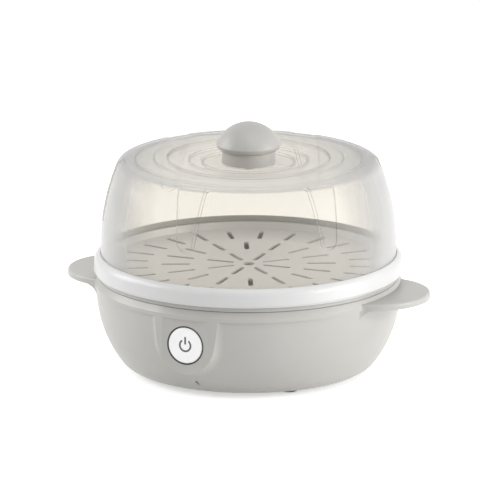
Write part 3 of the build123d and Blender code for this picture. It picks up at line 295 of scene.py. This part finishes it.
plasticPattern = {
    "cloudDetail": 3.0,
    "cloudSpan": (0.35, 0.65),  # where the clouds go from dark to light
    "grainDetail": 4.0,
    "grainRoughness": 0.6,
    "grainSpan": (0.3, 0.7),  # where the grain goes from glossy to matt
    "coatRough": 0.12,
}


# Two close shades in soft clouds, a fine grain in the gloss and the surface, and a painted glow
# where a recipe gives one
def mouldedPlastic(name, recipe, pattern):
    material, tree = newMaterial(name)
    place = addNode(tree, "TexCoord").outputs["Object"]
    clouds = addNode(
        tree, "TexNoise", Vector=place, Scale=recipe["cloudScale"], Detail=pattern["cloudDetail"]
    ).outputs["Fac"]
    grain = addNode(
        tree, "TexNoise", Vector=place, Scale=recipe["grainScale"],
        Detail=pattern["grainDetail"], Roughness=pattern["grainRoughness"],
    ).outputs["Fac"]
    skin = addNode(
        tree, "BsdfPrincipled",
        Base_Color=blendShades(tree, clouds, recipe["dark"], recipe["light"], pattern["cloudSpan"]),
        Roughness=carryRange(tree, grain, recipe["rough"], pattern["grainSpan"]),
        Normal=makeRelief(tree, grain, recipe["bump"]),
        Coat_Weight=recipe["coat"], Coat_Roughness=pattern["coatRough"],
        Emission_Color=(1, 1, 1, 1), Emission_Strength=recipe.get("glow", 0.0),
    )
    addNode(tree, "OutputMaterial", Surface=skin.outputs[0])
    return material


materials = {
    name: mouldedPlastic(name, recipe, plasticPattern) for name, recipe in plastics.items()
}

# The lid's milky plastic

milkyLid = {
    "body": (0.610, 0.613, 0.618),
    "clear": (0.992, 0.978, 0.950, 1),
    "facingBlend": 0.5,
    "shares": {  # how much of the body shows, from seen square on to seen along the wall
        0.0: 0.11, 0.24: 0.13, 0.36: 0.24, 0.48: 0.37, 0.62: 0.60, 0.76: 0.70, 1.0: 0.96,
    },
    "streakScale": (9, 9, 60),
    "streakDetail": 3.0,
    "streakSpan": (0.3, 0.7),
    "streakShade": 0.96,  # the darker streaks, as a part of the body's colour
    "grainScale": 900,
    "grainDetail": 3.0,
    "bump": 0.00002,
    "rough": (0.24, 0.34),
    "topHeights": (0.169, 0.160),  # the finish changes between these heights
    "shine": (0.08, 0.30),  # on the top, on the wall
    "coat": (0.0, 0.40),
    "coatRough": 0.15,
    "crown": {  # how cloudy the top is, by radius
        0.0: 0.42, 0.048: 0.46, 0.066: 0.52, 0.088: 0.56, 0.104: 1.0,
    },
    "lines": {  # painted shade along the edges of the rings on the top: radius and half width
        0.037: 0.0010, 0.0478: 0.0010, 0.0655: 0.0011, 0.0765: 0.0010, 0.0915: 0.0010,
    },
    # the painted shade's colour on the ring edges, and how much cloudier it makes them
    "paintedRingShade": (0.360, 0.355, 0.340, 1),
    "ringShadeShare": 0.30,
}


# See-through plastic that is cloudier where it is looked at along its wall, with a clearer
# crown on which painted shade draws the edges of the moulded rings as darker, cloudier lines
def makeMilkyLid(recipe):
    material, tree = newMaterial("milkyLid")
    place = addNode(tree, "TexCoord").outputs["Object"]
    stretched = addNode(tree, "Mapping", Vector=place, Scale=recipe["streakScale"])
    flow = addNode(
        tree, "TexNoise", Vector=stretched.outputs["Vector"], Scale=1.0,
        Detail=recipe["streakDetail"],
    ).outputs["Fac"]
    grain = addNode(
        tree, "TexNoise", Vector=place, Scale=recipe["grainScale"], Detail=recipe["grainDetail"]
    ).outputs["Fac"]
    streak = [part * recipe["streakShade"] for part in recipe["body"]]
    shades = blendShades(tree, flow, streak, recipe["body"], recipe["streakSpan"])

    reach = max(recipe["crown"])
    flat = addNode(tree, "Mapping", Vector=place, Scale=(1, 1, 0)).outputs["Vector"]
    radius = addNode(tree, "VectorMath", {"operation": "LENGTH"}, Vector=flat).outputs["Value"]
    along = carryRange(tree, radius, (0.0, 1.0), (0.0, reach))
    crown = greyCurve(
        tree, along, {where / reach: level for where, level in recipe["crown"].items()}
    )
    lines = {0.0: 0.0, 1.0: 0.0}
    for ring, halfWidth in recipe["lines"].items():
        lines[(ring - halfWidth) / reach] = 0.0
        lines[ring / reach] = 1.0
        lines[(ring + halfWidth) / reach] = 0.0
    rings = greyCurve(tree, along, lines)
    # painted shade: the colour turns darker along the ring edges
    drawn = addNode(tree, "MixRGB", Fac=rings, Color1=shades, Color2=recipe["paintedRingShade"])

    height = addNode(tree, "SeparateXYZ", Vector=place).outputs["Z"]
    body = addNode(
        tree, "BsdfPrincipled", Base_Color=drawn.outputs["Color"],
        Roughness=carryRange(tree, grain, recipe["rough"]),
        Normal=makeRelief(tree, grain, recipe["bump"]),
        Coat_Weight=carryRange(tree, height, recipe["coat"], recipe["topHeights"]),
        Coat_Roughness=recipe["coatRough"],
        Specular_IOR_Level=carryRange(tree, height, recipe["shine"], recipe["topHeights"]),
    )
    clear = addNode(tree, "BsdfTransparent", Color=recipe["clear"])
    facing = addNode(tree, "LayerWeight", Blend=recipe["facingBlend"]).outputs["Facing"]
    cloudy = greyCurve(tree, facing, recipe["shares"])
    weighed = joinNode(tree, "Math", (cloudy, crown), {"operation": "MULTIPLY"})
    share = joinNode(
        tree, "Math", (rings, recipe["ringShadeShare"], weighed),
        {"operation": "MULTIPLY_ADD", "use_clamp": True},
    )
    wall = joinNode(tree, "MixShader", (share, clear.outputs[0], body.outputs[0]))
    addNode(tree, "OutputMaterial", Surface=wall)
    return material


materials["milkyLid"] = makeMilkyLid(milkyLid)

# Metals

metals = {
    "ringTurnedSteel": {
        "dark": (0.50, 0.50, 0.49), "light": (0.66, 0.66, 0.65),
        "kind": "rings", "lineScale": 900, "rough": (0.22, 0.38), "bump": 0.000012,
    },
    "brushedSteel": {
        "dark": (0.42, 0.42, 0.42), "light": (0.60, 0.60, 0.59),
        "kind": "lines", "lineScale": 1200, "rough": (0.25, 0.42), "bump": 0.00001,
    },
    "castAluminium": {
        "dark": (0.50, 0.50, 0.51), "light": (0.66, 0.66, 0.67),
        "kind": "cast", "lineScale": 500, "rough": (0.38, 0.55), "bump": 0.00008,
    },
    "brassContact": {
        "dark": (0.58, 0.42, 0.16), "light": (0.74, 0.56, 0.26),
        "kind": "lines", "lineScale": 1100, "rough": (0.24, 0.4), "bump": 0.00001,
    },
}
metalPattern = {
    "shadeSpan": (0.2, 0.8),
    "ringWobble": 1.5,
    "ringDetail": 2.0,
    "lineStretch": (1.0, 1.0, 0.04),  # drawn out along the height
    "lineDetail": 4.0,
    "castDetail": 6.0,
    "castRoughness": 0.7,
}


# Turned rings, brushed lines or a cast grain
def metalSkin(name, recipe, pattern):
    material, tree = newMaterial(name)
    place = addNode(tree, "TexCoord").outputs["Object"]
    if recipe["kind"] == "rings":
        marks = addNode(
            tree, "TexWave", {"wave_type": "RINGS", "rings_direction": "Z"}, Vector=place,
            Scale=recipe["lineScale"], Distortion=pattern["ringWobble"],
            Detail=pattern["ringDetail"], Detail_Scale=1.0,
        ).outputs["Fac"]
    elif recipe["kind"] == "lines":
        drawn = addNode(tree, "Mapping", Vector=place, Scale=pattern["lineStretch"])
        marks = addNode(
            tree, "TexNoise", Vector=drawn.outputs["Vector"], Scale=recipe["lineScale"],
            Detail=pattern["lineDetail"],
        ).outputs["Fac"]
    else:
        marks = addNode(
            tree, "TexNoise", Vector=place, Scale=recipe["lineScale"],
            Detail=pattern["castDetail"], Roughness=pattern["castRoughness"],
        ).outputs["Fac"]
    skin = addNode(
        tree, "BsdfPrincipled", Metallic=1.0,
        Base_Color=blendShades(tree, marks, recipe["dark"], recipe["light"], pattern["shadeSpan"]),
        Roughness=carryRange(tree, marks, recipe["rough"]),
        Normal=makeRelief(tree, marks, recipe["bump"]),
    )
    addNode(tree, "OutputMaterial", Surface=skin.outputs[0])
    return material


materials.update({name: metalSkin(name, recipe, metalPattern) for name, recipe in metals.items()})

# The earth lead's sleeve

earthSleeve = {
    "green": (0.04, 0.25, 0.05),
    "yellow": (0.70, 0.52, 0.04),
    "stripeScale": 90.0,
    "stripeWobble": 0.4,
    "stripeEdge": (0.55, 0.60),  # where green turns to yellow
    "grainScale": 2600.0,
    "grainDetail": 3.0,
    "rough": (0.4, 0.6),
}


# Green with a yellow stripe across it
def makeEarthSleeve(recipe):
    material, tree = newMaterial("earthSleeve")
    place = addNode(tree, "TexCoord").outputs["Object"]
    bands = addNode(
        tree, "TexWave", {"bands_direction": "DIAGONAL"}, Vector=place,
        Scale=recipe["stripeScale"], Distortion=recipe["stripeWobble"],
    ).outputs["Fac"]
    grain = addNode(
        tree, "TexNoise", Vector=place, Scale=recipe["grainScale"], Detail=recipe["grainDetail"]
    ).outputs["Fac"]
    stripes = blendShades(tree, bands, recipe["green"], recipe["yellow"], recipe["stripeEdge"])
    skin = addNode(
        tree, "BsdfPrincipled", Base_Color=stripes,
        Roughness=carryRange(tree, grain, recipe["rough"]),
    )
    addNode(tree, "OutputMaterial", Surface=skin.outputs[0])
    return material


materials["earthSleeve"] = makeEarthSleeve(earthSleeve)
print("materials made:", len(materials))

# Which piece wears which material

dressing = {
    "housingPlastic": ["base_housing", "water_tub", "bottom_cover"],
    "knobPlastic": ["knob_collar", "knob_cap"],
    "trayPlastic": ["steam_tray"],
    "milkyLid": ["lid_dome"],
    "buttonPlastic": ["button_cap"],
    "symbolInk": ["power_symbol"],
    "footRubber": ["rubber_feet"],
    "sealSilicone": ["heater_gasket"],
    "ringTurnedSteel": ["heater_dish"],
    "brushedSteel": [
        "heater_clamp", "heating_element", "bottom_screws", "heater_screws", "thermostat_screws",
        "thermostat_bracket", "board_screws", "knob_screw", "knob_washer", "fuse_clip", "earth_tab",
        "element_terminals",
    ],
    "castAluminium": ["diffuser_plate"],
    "brassContact": ["thermostat_terminals", "inlet_pins", "inlet_tabs"],
    "mouldedBlack": ["thermostat", "relay", "switch_body", "power_inlet", "capacitor"],
    "terminalGreen": ["terminal_block"],
    "fuseSleeve": ["thermal_fuse"],
    "boardLaminate": ["control_board"],
    "plungerWhite": ["switch_plunger"],
    "ledLens": ["status_led"],
    "brownLead": ["live_lead", "heater_lead"],
    "blueLead": ["neutral_lead"],
    "earthSleeve": ["earth_lead"],
    "whiteLead": ["fuse_leads"],
}

for name, members in dressing.items():
    for member in members:
        mesh = nodes[member].data
        mesh.materials.clear()
        mesh.materials.append(materials[name])
print("materials on", sum(len(members) for members in dressing.values()), "nodes")

# Painted shade: a near-black ring set in the gap round the button, standing in for the gap's shadow

buttonGapShade = {
    "azimuth": -3.5,  # degrees, turned from the front toward +X
    "height": 0.0475,
    "inner": 0.01482,
    "outer": 0.01553,
    "lip": 0.01595,  # its lip lies on the pad's face
    "seat": 0.122305,  # distance of the lip's underside from the object's axis
    "front": 0.12242,
    "depth": 0.0016,
    "chamfer": 0.00008,
    "steps": 96,
    "weld": 1e-6,
}


def makeButtonGapShade(ring):
    bm = bmesh.new()
    inner, outer, lip = ring["inner"], ring["outer"], ring["lip"]
    front, seat, cut = ring["front"], ring["seat"], ring["chamfer"]
    back = front - ring["depth"]
    profile = [
        (inner, back), (inner, front - cut), (inner + cut, front), (lip - cut, front),
        (lip, front - cut), (lip, seat), (outer, seat), (outer, back),
    ]
    corners = [bm.verts.new((0, -depth, ring["height"] + radius)) for radius, depth in profile]
    sides = [bm.edges.new((corners[i - 1], corners[i])) for i in range(len(corners))]
    bmesh.ops.spin(
        bm, geom=corners + sides, cent=(0, 0, ring["height"]), axis=(0, 1, 0),
        angle=2 * math.pi, steps=ring["steps"], use_merge=True,
    )
    turn = Matrix.Rotation(math.radians(ring["azimuth"]), 3, "Z")
    bmesh.ops.rotate(bm, verts=bm.verts, cent=(0, 0, 0), matrix=turn)
    bmesh.ops.remove_doubles(bm, verts=bm.verts, dist=ring["weld"])
    bmesh.ops.recalc_face_normals(bm, faces=bm.faces)
    return bm


def addPiece(name, bm, material, body):
    piece = makeObject(name, bm, materials[material])
    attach(piece, body)


# the gap ring is painted shade, a dark piece in place of the gap's shadow
addPiece("button_gap_shade", makeButtonGapShade(buttonGapShade), "paintedGapShade", "base")
print("button seal made")
